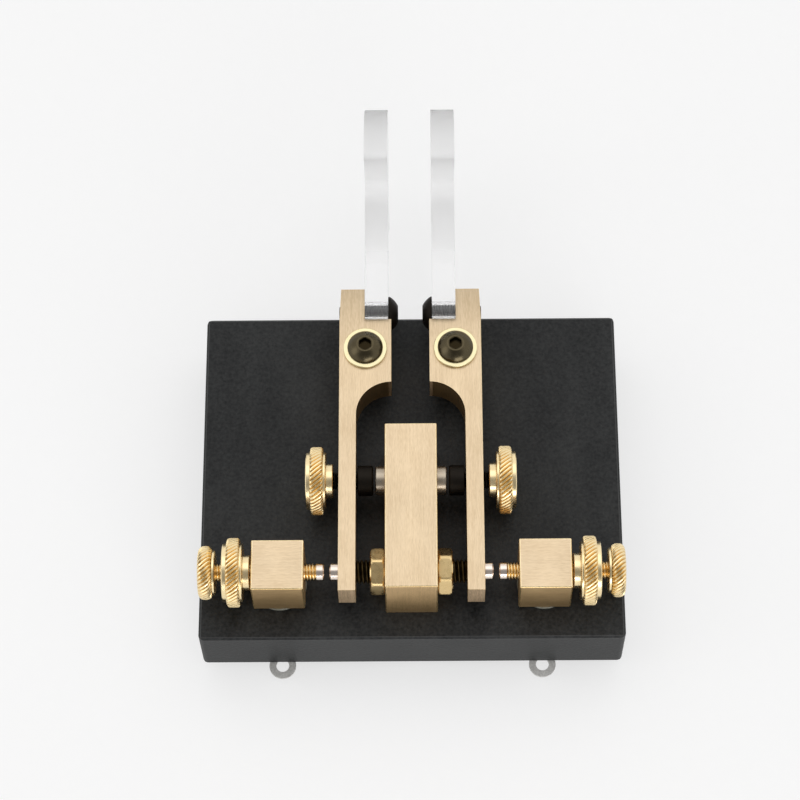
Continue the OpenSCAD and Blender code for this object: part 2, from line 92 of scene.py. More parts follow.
SEAT_GAP = 0.01
PIVOT_PLAY = 0.04
SCREW_R, SCREW_PITCH = 1.5, 0.5
CLEAR_R = 1.62
NECK_R = 1.55
HEAD_R, HEAD_H, HEAD_FLAT_R, HEAD_RIM = 3.05, 1.65, 1.45, 0.22
SOCKET_AF, SOCKET_DEPTH = 2.0, 0.9
FOOT_R = 4.0
FLANGE_R, SLEEVE_R = 4.55, 2.8
POST_FLANGE_T, UNDER_FLANGE_T = 0.48, 0.6
BUSH_R, JOURNAL_R = 3.7, 2.5
PIVOT_WASHER_R = 3.75
MAGNET_R = 2.5
STOP_R, STOP_PITCH = 2.0, 0.7
STOP_NUT_AF, STOP_NUT_T, STOP_NUT_BORE_R = 7.0, 2.5, 2.06
SILVER_R, SILVER_SHANK_R = 1.5, 0.75
RIVET_H, TIP_L = 1.44, 1.3
TIP_BORE_R, TIP_BORE_DEPTH = 0.8, 1.8
CAP_R, CAP_H = 2.6, 2.6
NUT_R, NUT_RIM_R, HUB_R, HUB_L = 5.8, 4.9, 2.95, 1.2
NUT_INNER_RIM, NUT_BAND_W, NUT_OUTER_RIM, NUT_RIDGES = 0.4, 2.25, 0.7, 46
KNOB_R, KNOB_RIM_R, KNOB_RIM, KNOB_BAND_W, KNOB_RIDGES = 4.5, 3.8, 0.45, 2.4, 36
RIDGE_LEAN = 40

# Points round a shank, a turned piece, a head, a hexagon nut and a wide washer, and across one knurled ridge

SHANK_POINTS, PIN_POINTS, TUBE_POINTS, HEAD_POINTS, NUT_POINTS, WASHER_POINTS = 32, 48, 64, 72, 144, 96
RIDGE_POINTS = 8

# Colours, each a pair from dark or groove to light or crest; on turned metal the groove tone paints shade
# into grooves and sockets

BRASS = (0.61, 0.465, 0.295), (0.78, 0.62, 0.42)
BRASS_EDGE = (0.72, 0.54, 0.30), (0.95, 0.80, 0.52)
# Painted shade for the lever's curved upright faces
BRASS_SHADED_CURVE = (0.26, 0.19, 0.11), (0.38, 0.29, 0.18)
BRASS_SAWN = (0.36, 0.30, 0.25), (0.64, 0.55, 0.48)
GOLD = (0.70, 0.48, 0.20), (0.94, 0.77, 0.46)
PALE = (0.50, 0.40, 0.17), (0.78, 0.69, 0.43)
NUT = (0.48, 0.30, 0.10), (0.75, 0.56, 0.28)
OXIDE = (0.02, 0.0145, 0.007), (0.092, 0.075, 0.044)
# Black oxide darkened further with painted shade, for the finger and magnet screws
SHADED_OXIDE = (0.005, 0.004, 0.003), (0.02, 0.017, 0.014)
# Black oxide darkened with painted shade, for the stop screws
SHADED_STOP = (0.012, 0.008, 0.003), (0.06, 0.042, 0.018)
SILVER = (0.48, 0.36, 0.28), (0.82, 0.72, 0.64)
NICKEL = (0.26, 0.22, 0.17), (0.46, 0.40, 0.32)
BLACK_COAT = (0.003, 0.0035, 0.004), (0.038, 0.0395, 0.0395)
BLACK_COAT_EDGE = (0.022, 0.022, 0.023), (0.06, 0.06, 0.06)
RUBBER = (0.012, 0.012, 0.012), (0.025, 0.025, 0.025)
NYLON = (0.15, 0.15, 0.12), (0.25, 0.245, 0.2)
TIN = (0.62, 0.61, 0.58), (0.90, 0.89, 0.86)
FLOOR_SEEN = (0.445, 0.445, 0.445), (0.455, 0.455, 0.455)
FLOOR_LIT = (0.80, 0.80, 0.80), (0.82, 0.82, 0.82)

BRUSHED_METALLIC = 0.86
# Painted shade: upright brushed faces take darker, deeper-tinted tones than faces that look up
SHADED_SIDE_TINT = (1.0, 0.88, 0.66)
# Painted shade on the levers: its darkest level and the millimetres it spreads over
PAINTED_END_SHADE, PAINTED_END_SHADE_LENGTH = 0.66, 14
TAB_START = (37.5, 40.0)
FLOOR_GLOW = 0.6
MATERIALS = {}


# Shader nodes

def wire(tree, kind, inputs=(), **settings):
    """Adds a shader node with its settings and inputs, and returns its first output.
    An input is a plain value or another node's output."""
    node = tree.nodes.new("ShaderNode" + kind)
    for key, value in settings.items():
        setattr(node, key, value)
    for key, value in dict(inputs).items():
        if isinstance(value, bpy.types.NodeSocket):
            tree.links.new(value, node.inputs[key])
        else:
            node.inputs[key].default_value = value
    return node.outputs[0]


def start(name, **constants):
    """Starts a material, with the Principled sockets that are the same all over it."""
    material = bpy.data.materials.new(name)
    material.use_nodes = True
    MATERIALS[name] = material
    shader = material.node_tree.nodes["Principled BSDF"]
    for key, value in constants.items():
        shader.inputs[key.replace("_", " ")].default_value = value
    return material.node_tree, shader


def millimetres(tree):
    """The place on the object at rest, in millimetres."""
    place = tree.nodes.new("ShaderNodeTexCoord").outputs["Object"]
    return wire(tree, "VectorMath", {0: place, 1: (1000, 1000, 1000)}, operation="MULTIPLY")


def along_axis(tree, vector, letter):
    """One coordinate of a vector."""
    return wire(tree, "SeparateXYZ", {0: vector}).node.outputs["XYZ".index(letter)]


def calc(tree, operation, *values, clamp=False):
    """A sum or test of one or two values."""
    return wire(tree, "Math", enumerate(values), operation=operation, use_clamp=clamp)


def weigh(tree, a, share, b):
    """Adds up a's share and b's, which is the rest."""
    return calc(tree, "ADD", calc(tree, "MULTIPLY", a, share), calc(tree, "MULTIPLY", b, 1 - share))


def stretched(tree, place, scale, detail=3.0):
    """Noise whose grain is scale cycles per millimetre along each axis."""
    vector = wire(tree, "Mapping", {"Vector": place, "Scale": scale})
    return wire(tree, "TexNoise", {"Vector": vector, "Scale": 1.0, "Detail": detail, "Roughness": 0.6})


def even(tree, place, scale, detail=3.0):
    """Noise of the same scale along every axis."""
    return stretched(tree, place, (scale, scale, scale), detail)


def between(tree, value, low, high, start_at=0.3, end_at=0.7):
    """Spreads a value over low to high."""
    inputs = {"Value": value, "From Min": start_at, "From Max": end_at, "To Min": low, "To Max": high}
    return wire(tree, "MapRange", inputs)


def ramp(tree, value, tones, start_at, end_at):
    """Colours a value, from the first tone at start_at to the second at end_at."""
    output = wire(tree, "ValToRGB", {0: value})
    elements = output.node.color_ramp.elements
    for i, place in enumerate((start_at, end_at)):
        elements[i].position = place
        elements[i].color = (*tones[i], 1)
    return output


def mix_values(tree, share, a, b):
    """Value a where share is 0, and value b where it is 1."""
    return wire(tree, "Mix", {0: share, 2: a, 3: b}, data_type="FLOAT")


def mix_colours(tree, share, a, b):
    """Colour a where share is 0, and colour b where it is 1."""
    return wire(tree, "Mix", {0: share, 6: a, 7: b}, data_type="RGBA").node.outputs[2]


def bump(tree, height, strength, depth_mm, below=None):
    inputs = {"Strength": strength, "Distance": depth_mm * MM, "Height": height}
    if below is not None:
        inputs["Normal"] = below
    return wire(tree, "Bump", inputs)


# Materials

def brushed_metal(name, tones, grain, end_grain, roughness, end_shade_span=None):
    """Brass brushed along the axis grain, and along end_grain on the faces that look along grain.
    The last argument is a pair of places along Y, in millimetres, over which painted shade darkens the metal."""
    tree, shader = start(name, Metallic=BRUSHED_METALLIC, Anisotropic=0.35)
    place = millimetres(tree)
    normal = tree.nodes.new("ShaderNodeTexCoord").outputs["Normal"]

    def looks_along(letter):
        """1 on the faces that look along an axis to within about 45 degrees, 0 on the others."""
        return calc(tree, "GREATER_THAN", calc(tree, "ABSOLUTE", along_axis(tree, normal, letter)), 0.7)

    on_end = looks_along(grain)

    def brushed(across, along, detail):
        """Noise drawn out along the brushing, in cycles per millimetre."""
        ways = []
        for axis in (grain, end_grain):
            scale = tuple(along if letter == axis else across for letter in "XYZ")
            ways.append(stretched(tree, place, scale, detail))
        return mix_values(tree, on_end, *ways)

    fine = brushed(across=14.0, along=0.9, detail=4.0)
    broad = brushed(across=4.0, along=0.12, detail=2.0)
    tone = weigh(tree, weigh(tree, fine, 0.7, broad), 0.8, even(tree, place, 0.16))
    # Painted shade: faces that don't look up take a darker, more saturated copy of the tones
    shaded_side_tones = [tuple(part * tint for part, tint in zip(colour, SHADED_SIDE_TINT)) for colour in tones]
    level = ramp(tree, tone, tones, 0.40, 0.58)
    painted_side_shade = ramp(tree, tone, shaded_side_tones, 0.40, 0.58)
    colour = mix_colours(tree, looks_along("Z"), painted_side_shade, level)
    # Painted shade: the colour darkens along Y over the given span
    if end_shade_span:
        fade = between(tree, along_axis(tree, place, "Y"), 1.0, PAINTED_END_SHADE, *end_shade_span)
        colour = wire(tree, "VectorMath", {0: colour, "Scale": fade}, operation="SCALE")
    tree.links.new(colour, shader.inputs["Base Color"])
    tree.links.new(between(tree, tone, roughness - 0.06, roughness + 0.06), shader.inputs["Roughness"])
    low = bump(tree, broad, 0.25, 0.01)
    tree.links.new(bump(tree, fine, 0.35, 0.006, low), shader.inputs["Normal"])


def turned_metal(name, tones, axis, centre, roughness):
    """Metal turned in a lathe: fine rings round the axis through centre, in millimetres.
    The mesh attribute "crest" is 0 in grooves and 1 on crests and plain faces. Grooves, thread roots and
    sockets take the darker tone as painted shade."""
    tree, shader = start(name, Metallic=1.0)
    place = millimetres(tree)
    moved = wire(tree, "VectorMath", {0: place, 1: centre}, operation="SUBTRACT")
    across = tuple(0.0 if letter == axis else 1.0 for letter in "XYZ")
    flat = wire(tree, "VectorMath", {0: moved, 1: across}, operation="MULTIPLY")
    radius = wire(tree, "VectorMath", {0: flat}, operation="LENGTH").node.outputs["Value"]
    rings = wire(tree, "CombineXYZ", {0: radius, 1: along_axis(tree, moved, axis)})
    marks = stretched(tree, rings, (14.0, 14.0, 1.0))
    patina = even(tree, place, 0.9, 4.0)
    crest = wire(tree, "Attribute", attribute_name="crest", attribute_type="GEOMETRY").node.outputs["Fac"]
    # Painted shade: a low crest darkens the colour in grooves, thread roots and sockets
    tone = calc(tree, "ADD", crest, between(tree, patina, -0.22, 0.12), clamp=True)
    tree.links.new(ramp(tree, tone, tones, 0.0, 1.0), shader.inputs["Base Color"])
    tree.links.new(between(tree, patina, roughness - 0.05, roughness + 0.08), shader.inputs["Roughness"])
    tree.links.new(bump(tree, marks, 0.3, 0.006), shader.inputs["Normal"])


def grained_coat(name, tones, roughness, grain_scale, relief=0.02, **constants):
    """A matt surface with fine grain, relief millimetres high: paint, rubber, nylon or dull tin."""
    tree, shader = start(name, **constants)
    place = millimetres(tree)
    grain = even(tree, place, grain_scale, 5.0)
    tone = weigh(tree, grain, 0.6, stretched(tree, place, (0.12, 0.05, 0.12)))
    tree.links.new(ramp(tree, tone, tones, 0.35, 0.65), shader.inputs["Base Color"])
    tree.links.new(between(tree, tone, roughness - 0.07, roughness + 0.07), shader.inputs["Roughness"])
    tree.links.new(bump(tree, grain, 0.5, relief), shader.inputs["Normal"])


def clear_plastic(name, low, high, clear, mark, sanded=0.0):
    """Acrylic whose haze spreads the roughness from low to high: polished faces or frosted edges.
    sanded is the roughness that the edges gain from the stem to the tab."""
    tree, shader = start(
        name, Metallic=0.0, IOR=1.49, Transmission_Weight=clear, Base_Color=(1.0, 0.998, 0.998, 1))
    place = millimetres(tree)
    haze = between(tree, even(tree, place, 0.7), low, high, 0.35, 0.8)
    gain = between(tree, along_axis(tree, place, "Y"), 0.0, sanded, *TAB_START)
    tree.links.new(calc(tree, "ADD", haze, gain), shader.inputs["Roughness"])
    marks = stretched(tree, place, (1.2, 0.25, 1.2), 2.0)
    tree.links.new(bump(tree, marks, mark, 0.01), shader.inputs["Normal"])


grained_coat("black_coat", BLACK_COAT, 0.5, 1.8, relief=0.12, Specular_IOR_Level=0.22)
grained_coat("black_coat_edge", BLACK_COAT_EDGE, 0.42, 9.0, Specular_IOR_Level=0.5)
grained_coat("black_rubber", RUBBER, 0.8, 4.0)
grained_coat("nylon_washer", NYLON, 0.38, 3.0)
grained_coat("dull_tin", TIN, 0.36, 3.0, Metallic=0.1)
brushed_metal("brushed_brass_x", BRASS, "X", "Z", 0.43)
brushed_metal("brushed_brass_y", BRASS, "Y", "Z", 0.43)
# Painted shade darkens the lever from its pivot towards the finger piece
brushed_metal("brushed_brass_lever_shaded_end", BRASS, "Y", "Z", 0.43, end_shade_span=(PIVOT.y, PIVOT.y + PAINTED_END_SHADE_LENGTH))
brushed_metal("brass_edge", BRASS_EDGE, "Y", "Z", 0.25)
brushed_metal("brass_shaded_curve", BRASS_SHADED_CURVE, "Z", "Z", 0.4)
brushed_metal("brass_sawn", BRASS_SAWN, "Z", "Z", 0.7)
clear_plastic("clear_acrylic", 0.02, 0.1, clear=1.0, mark=0.08)
clear_plastic("frosted_acrylic", 0.14, 0.22, clear=0.97, mark=0.3, sanded=0.36)
turned_metal("gold_contact", GOLD, "X", CONTACT_AXIS, 0.24)
turned_metal("gold_magnet", GOLD, "X", MAGNET_AXIS, 0.24)
turned_metal("shaded_oxide_contact", SHADED_OXIDE, "X", CONTACT_AXIS, 0.5)
turned_metal("shaded_oxide_magnet", SHADED_OXIDE, "X", MAGNET_AXIS, 0.5)
turned_metal("shaded_stop_contact", SHADED_STOP, "X", CONTACT_AXIS, 0.5)
turned_metal("nut_contact", NUT, "X", CONTACT_AXIS, 0.27)
turned_metal("silver_contact", SILVER, "X", CONTACT_AXIS, 0.2)
turned_metal("nickel_magnet", NICKEL, "X", MAGNET_AXIS, 0.3)
turned_metal("oxide_plain", OXIDE, "Z", (0.0, 0.0, 0.0), 0.24)
for side, sign in SIDES:
    pivot_axis = (sign * PIVOT.x, PIVOT.y, 0.0)
    turned_metal("pale_pivot_" + side, PALE, "Z", pivot_axis, 0.3)
    turned_metal("oxide_pivot_" + side, OXIDE, "Z", pivot_axis, 0.24)


# Pieces and their places

def finish_piece(node, built, materials, sharp=30):
    """Turns a bmesh in metres into a smooth-shaded piece that stands for a CAD node."""
    bmesh.ops.recalc_face_normals(built, faces=built.faces)
    mesh = bpy.data.meshes.new(node + "_look")
    built.to_mesh(mesh)
    built.free()
    mesh.polygons.foreach_set("use_smooth", [True] * len(mesh.polygons))
    mesh.set_sharp_from_angle(angle=math.radians(sharp))
    for name in materials:
        mesh.materials.append(MATERIALS[name])
    piece = bpy.data.objects.new(node + "_look", mesh)
    bpy.context.scene.collection.objects.link(piece)
    weighted = piece.modifiers.new("normals", "WEIGHTED_NORMAL")
    weighted.keep_sharp = True
    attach(piece, BODY_OF[node])
    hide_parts(node)


def outward(sign, x, centre):
    """Puts local +Z outward along X, from a distance x from the middle plane."""
    return Matrix.Translation((sign * x, centre.y, centre.z)) @ Matrix.Rotation(sign * math.pi / 2, 4, "Y")


def upright(x, y, z):
    return Matrix.Translation((x, y, z))


def upside_down(x, y, z):
    return upright(x, y, z) @ Matrix.Rotation(math.pi, 4, "X")


def joined(parts):
    """One bmesh of several separate solids."""
    built = bmesh.new()
    for part in parts:
        mesh = bpy.data.meshes.new("part")
        part.to_mesh(mesh)
        part.free()
        built.from_mesh(mesh)
        bpy.data.meshes.remove(mesh)
    return built


def soften(node, width, materials, broad_x=False, lever=False):
    """Copies a CAD node and rounds its edges. The rounded faces take the last material, and with broad_x
    every face that doesn't look along X. On a lever, curved upright faces take the second material, a darker
    brass that paints shade on them, and the near end takes the third."""
    weld, flat_angle, edge_angle = 0.001 * MM, math.radians(0.4), math.radians(35)
    last = len(materials) - 1
    built = bmesh.new()
    built.from_mesh(NODES[node].data)
    bmesh.ops.remove_doubles(built, verts=built.verts, dist=weld)
    bmesh.ops.dissolve_limit(built, angle_limit=flat_angle, verts=built.verts, edges=built.edges)
    for face in built.faces:
        x, y, z = face.normal
        curved = max(abs(x), abs(y), abs(z)) < 0.9999 and abs(z) < 0.01
        face.material_index = last if broad_x and abs(x) < 0.9 else 0
        if lever and y < -0.999:
            face.material_index = 2
        # Painted shade: the lever's curved upright faces take the darker brass
        elif lever and curved:
            face.material_index = 1
    edges = [edge for edge in built.edges
             if len(edge.link_faces) == 2 and edge.calc_face_angle(0) > edge_angle]
    bmesh.ops.bevel(built, geom=edges, offset=width * MM, offset_type="OFFSET", segments=2, profile=0.5,
                    affect="EDGES", clamp_overlap=True, material=last)
    bmesh.ops.remove_doubles(built, verts=built.verts, dist=weld)
    finish_piece(node, built, materials)


# Rings and what is lofted through them

def ring(radius, height, count, turn=0.0, crest=1.0):
    """count points round local Z, in millimetres, turned by turn steps, with their crest value."""
    angle = (np.arange(count) + turn) * 2 * math.pi / count
    radius = np.broadcast_to(np.asarray(radius, float), (count,))
    crest = np.broadcast_to(np.asarray(crest, float), (count,))
    return np.stack([radius * np.cos(angle), radius * np.sin(angle), np.full(count, float(height)), crest], 1)


def rings_of(profile, count, turn=0.0, crest=1.0):
    """Rings through (radius, height) points."""
    return [ring(radius, height, count, turn, crest) for radius, height in profile]


def hexagon(across, height, count=HEAD_POINTS, crest=1.0):
    """A ring with the outline of a hexagon, across its flats."""
    angle = np.degrees(np.arange(count) * 2 * math.pi / count)
    return ring(across / 2 / np.cos(np.radians((angle + 30) % 60 - 30)), height, count, 0, crest)


def strip(a, b, na, nb, shift=0):
    """Faces between two rings of na and nb points that start at vertices a and b."""
    if na == nb:
        return [(a + j, a + (j + 1) % na, b + (j + 1 + shift) % na, b + (j + shift) % na) for j in range(na)]
    faces, i, j = [], 0, 0
    while i < na or j < nb:
        if j == nb or (i < na and (i + 1) / na <= (j + 1) / nb):
            faces.append((a + i % na, a + (i + 1) % na, b + j % nb))
            i += 1
        else:
            faces.append((a + i % na, b + (j + 1) % nb, b + j % nb))
            j += 1
    return faces


def loft(rings, place, closed=False, seam=0):
    """A bmesh through rings, put in its place by a matrix. closed joins the last ring to the first,
    seam points round; otherwise both ends are capped."""
    built = bmesh.new()
    crest = built.verts.layers.float.new("crest")
    starts, count = [], 0
    for points in rings:
        starts.append(count)
        count += len(points)
        for x, y, z, level in points:
            built.verts.new(place @ Vector((x, y, z)) * MM)[crest] = level
    built.verts.ensure_lookup_table()
    faces = []
    for k in range(len(rings) - 1):
        faces += strip(starts[k], starts[k + 1], len(rings[k]), len(rings[k + 1]))
    if closed:
        faces += strip(starts[-1], starts[0], len(rings[-1]), len(rings[0]), seam)
    else:
        faces.append(tuple(range(len(rings[0]) - 1, -1, -1)))
        faces.append(tuple(range(starts[-1], count)))
    for face in faces:
        built.faces.new([built.verts[i] for i in face])
    return built


def threaded(radius, z0, z1, pitch, chamfer=0.25):
    """Rings of a right-hand thread from z0 up to z1, chamfered at both ends."""
    depth, rows_per_turn = 0.58 * pitch, 10
    rings = []
    steps = int((z1 - z0) / pitch * rows_per_turn)
    around = np.arange(SHANK_POINTS) / SHANK_POINTS
    for i in range(steps + 1):
        z = z0 + (z1 - z0) * i / steps
        phase = (z / pitch - around) % 1.0
        groove = np.clip(1.12 - np.abs(phase - 0.5) * 2.9, 0.0, 1.0)
        cap = radius - max(0.0, chamfer - (z - z0), chamfer - (z1 - z))
        rings.append(ring(np.minimum(radius - depth * groove, cap), z, SHANK_POINTS, 0, 1 - 0.8 * groove))
    return rings


def knurled(radius, z0, width, ridges, depth, rounding):
    """Rings of a band whose ridges lean round it, and the number of steps that they turn."""
    layers, fade_in = 16, 0.25
    count = ridges * RIDGE_POINTS
    steps = round(math.tan(math.radians(RIDGE_LEAN)) * width / radius * count / (2 * math.pi))
    place = np.arange(count) % RIDGE_POINTS / RIDGE_POINTS
    groove = np.clip(1 - np.abs(place - 0.5) / 0.36, 0, 1)
    rings = []
    for i in range(layers + 1):
        z = width * (1 - math.cos(math.pi * i / layers)) / 2
        from_edge = min(z, width - z)
        edge = max(0.0, rounding - from_edge)
        drop = rounding - math.sqrt(rounding ** 2 - edge ** 2)
        fade = min(1.0, 0.35 + from_edge / fade_in)
        rings.append(ring(radius - drop - depth * fade * groove, z0 + z, count, -steps * z / width,
                          1 - groove * fade))
    return rings, -steps


# Screws, nuts and turned pieces

def button_head():
    """Rings of a domed head with a flat ring round its hexagon socket, from underside to socket floor."""
    dome_steps = 12
    low = (HEAD_H + HEAD_RIM - (HEAD_R ** 2 - HEAD_FLAT_R ** 2) / (HEAD_H - HEAD_RIM)) / 2
    dome_r = math.hypot(HEAD_R, HEAD_RIM - low)
    rings = rings_of([(HEAD_R - 0.05, 0), (HEAD_R, 0.05), (HEAD_R, HEAD_RIM - 0.02)], HEAD_POINTS)
    for i in range(dome_steps + 1):
        r = HEAD_R - 0.01 + (HEAD_FLAT_R - HEAD_R + 0.01) * i / dome_steps
        rings.append(ring(r, low + math.sqrt(dome_r ** 2 - r ** 2), HEAD_POINTS))
    corner = SOCKET_AF / 2 / math.cos(math.pi / 6)
    rings.append(ring(HEAD_FLAT_R - 0.03, HEAD_H, HEAD_POINTS))
    # Low crest values paint shade into the socket
    rings.append(ring(corner + 0.06, HEAD_H, HEAD_POINTS, 0, 0.8))
    rings.append(hexagon(SOCKET_AF, HEAD_H - 0.09, crest=0.1))
    rings.append(hexagon(SOCKET_AF, HEAD_H - SOCKET_DEPTH, crest=0.0))
    rings.append(ring(0.2, HEAD_H - SOCKET_DEPTH - 0.04, HEAD_POINTS, 0, 0.0))
    return rings


def button_rings(length, thread=False):
    """Rings of a screw whose head stands on local z = 0, from its tapered or threaded end to its socket."""
    if thread:
        shank = threaded(SCREW_R, -length, -0.05, SCREW_PITCH)
    else:
        shank = rings_of([(SCREW_R - 0.3, -length), (SCREW_R, -length + 0.3), (SCREW_R, -0.05)], SHANK_POINTS)
    return shank + [ring(NECK_R, 0, SHANK_POINTS)] + button_head()


def button_screw(node, place, material, thread=False):
    """A screw as long as its CAD node, with its domed head."""
    low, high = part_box(node)
    length = max((high - low) / MM) - HEAD_H
    finish_piece(node, loft(button_rings(length, thread), place), [material])


def tube(node, x, y, profile, material, count=TUBE_POINTS):
    """An upright turned piece with a bore: profile is (radius, height) from one end of the bore, round
    outside, to the other."""
    finish_piece(node, loft(rings_of(profile, count), upright(x, y, 0), closed=True), [material])


def turned_pin(node, sign, profile, material, centre):
    """A solid turned piece on an X axis: profile is (radius, distance from the middle plane)."""
    finish_piece(node, loft(rings_of(profile, PIN_POINTS), outward(sign, 0, centre)), [material])


def top_hat(sleeve_end, brim, face):
    """Profile of an insulating washer, from the end of its sleeve and along its brim to the outer face."""
    up = 1 if face > brim else -1
    profile = [(CLEAR_R, sleeve_end), (SLEEVE_R - 0.05, sleeve_end), (SLEEVE_R, sleeve_end + up * 0.1),
               (SLEEVE_R, brim), (FLANGE_R - 0.05, brim), (FLANGE_R, brim + up * 0.06),
               (FLANGE_R, face - up * 0.08), (FLANGE_R - 0.08, face), (CLEAR_R, face)]
    return profile[::up]


def thumb_nut(node, sign, centre, material):
    """Hub inward, then inner rim, knurled band and outer rim, with a bore right through."""
    count = NUT_RIDGES * RIDGE_POINTS
    band_end = NUT_INNER_RIM + NUT_BAND_W
    face = band_end + NUT_OUTER_RIM
    rings = rings_of([
        (1.72, -HUB_L), (HUB_R - 0.12, -HUB_L), (HUB_R, 0.12 - HUB_L), (HUB_R, -0.08), (HUB_R + 0.08, 0),
        (NUT_RIM_R - 0.1, 0), (NUT_RIM_R, 0.1), (NUT_RIM_R, NUT_INNER_RIM - 0.03),
        (NUT_RIM_R + 0.05, NUT_INNER_RIM)], count)
    band, steps = knurled(NUT_R, NUT_INNER_RIM, NUT_BAND_W, NUT_RIDGES, depth=0.3, rounding=0.5)
    rings += band
    rings += rings_of([
        (NUT_RIM_R + 0.05, band_end), (NUT_RIM_R, band_end + 0.03), (NUT_RIM_R, face - 0.13),
        (NUT_RIM_R - 0.13, face), (2.3, face), (2.2, face - 0.06), (1.85, face - 0.06), (NECK_R, face - 0.35),
        (NECK_R, 0.17 - HUB_L)], count, steps)
    place = outward(sign, reach(node)[0] + HUB_L, centre)
    finish_piece(node, loft(rings, place, closed=True, seam=steps), [material])


def contact_screw(node, sign):
    """Bored for the silver tip's shank, threaded from there outward, with a knurled knob at its end."""
    inner, outer = reach(node)
    end = outer - inner
    knob = end - KNOB_BAND_W - KNOB_RIM
    band_start = knob + KNOB_RIM
    count = KNOB_RIDGES * RIDGE_POINTS
    bore = [(0.15, TIP_BORE_DEPTH), (TIP_BORE_R, TIP_BORE_DEPTH), (TIP_BORE_R, 0.0)]
    rings = rings_of(bore, SHANK_POINTS, crest=0.5) + threaded(SCREW_R, 0.02, knob, SCREW_PITCH, 0.15)
    rings += rings_of([(KNOB_RIM_R - 0.2, knob), (KNOB_RIM_R, knob + 0.1), (KNOB_RIM_R, band_start - 0.03),
                       (KNOB_RIM_R + 0.05, band_start)], count)
    band, steps = knurled(KNOB_R, band_start, KNOB_BAND_W, KNOB_RIDGES, depth=0.28, rounding=1.0)
    rings += band
    rings += rings_of([(3.3, end), (1.2, end - 0.02), (0.25, end - 0.25)], count, steps)
    finish_piece(node, loft(rings, outward(sign, inner, AXIS)), ["gold_contact"])


def hexagon_nut(node, sign, turn):
    """A thin nut, chamfered on both faces and turned by turn degrees."""
    steps, chamfer_angle, flat_cut = 12, math.radians(28), 0.12
    face_r = 2.3
    corner = STOP_NUT_AF / 2 / math.cos(math.pi / 6) - flat_cut
    rings = rings_of([(STOP_NUT_BORE_R, 0.25), (face_r, 0)], NUT_POINTS)
    for i in range(steps + 1):
        z = STOP_NUT_T * i / steps
        cone = STOP_NUT_AF / 2 - flat_cut + min(z, STOP_NUT_T - z) / math.tan(chamfer_angle)
        outline = hexagon(STOP_NUT_AF, z, NUT_POINTS)
        size = np.hypot(outline[:, 0], outline[:, 1])
        outline[:, :2] *= (np.minimum(size, min(cone, corner)) / size)[:, None]
        rings.append(outline)
    rings += rings_of([(face_r, STOP_NUT_T), (STOP_NUT_BORE_R, STOP_NUT_T - 0.25)], NUT_POINTS)
    place = outward(sign, reach(node)[0], AXIS) @ Matrix.Rotation(math.radians(turn), 4, "Z")
    finish_piece(node, loft(rings, place, closed=True), ["nut_contact"], sharp=20)


def set_screw(node, sign):
    """A stop screw: threaded all along, with a hexagon socket at its outer end."""
    inner, outer = reach(node)
    end = outer - inner
    rings = rings_of([(0.9, 0.35), (1.55, 0.0)], SHANK_POINTS)
    rings += threaded(STOP_R, 0.02, end, STOP_PITCH, 0.35)
    rings += [ring(1.3, end, HEAD_POINTS), hexagon(SOCKET_AF, end - 0.12), hexagon(SOCKET_AF, end - 1.5),
              ring(0.2, end - 1.6, HEAD_POINTS)]
    # Painted shade: the stop screw takes the darkened oxide
    finish_piece(node, loft(rings, outward(sign, inner, AXIS)), ["shaded_stop_contact"])


def magnet_screw(node, sign):
    """A round steel head that faces the magnet, and a threaded shank through the lever."""
    inner, outer = reach(node)
    rings = [ring(0.2, 1.4, HEAD_POINTS), hexagon(SOCKET_AF, 1.3), hexagon(SOCKET_AF, 0.1)]
    rings += rings_of([(1.28, 0), (CAP_R - 0.2, 0), (CAP_R, 0.2), (CAP_R, CAP_H - 0.1), (CAP_R - 0.1, CAP_H),
                       (1.6, CAP_H)], HEAD_POINTS)
    rings += threaded(SCREW_R, CAP_H + 0.02, outer - inner, SCREW_PITCH, 0.2)
    # Painted shade: the magnet screw takes the darkened black oxide
    finish_piece(node, loft(rings, outward(sign, inner, MAGNET)), ["shaded_oxide_magnet"])


# Groups of pieces

def base_and_feet():
    soften("base_plate", 0.14, ["black_coat", "black_coat_edge"])
    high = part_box("rubber_feet")[1] / MM
    top = high.z
    foot = rings_of([(0.3, 0.25), (2.0, 0.2), (2.6, 0.0), (3.3, 0.0), (3.5, 0.06), (3.75, 0.3), (3.95, 0.9),
                     (FOOT_R, 1.6), (FOOT_R, top - 0.2), (FOOT_R - 0.15, top)], TUBE_POINTS)
    centres = [(x, y) for x in (FOOT_R - high.x, high.x - FOOT_R) for y in (FOOT_R - high.y, high.y - FOOT_R)]
    finish_piece("rubber_feet", joined(loft(foot, upright(x, y, 0)) for x, y in centres), ["black_rubber"])


def centre_block():
    soften("center_block", 0.12, ["brushed_brass_y", "brass_edge"])
    soften("common_solder_lug", 0.06, ["dull_tin"])
    low, high = (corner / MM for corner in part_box("center_block_screws"))
    under_lug = heights("common_solder_lug")[0] - SEAT_GAP
    under_base = heights("base_plate")[0] - SEAT_GAP
    screws = []
    for y, z in ((low.y + HEAD_R, under_lug), (high.y - HEAD_R, under_base)):
        screws.append(loft(button_rings(high.z - z), upside_down(0, y, z)))
    finish_piece("center_block_screws", joined(screws), ["oxide_plain"])


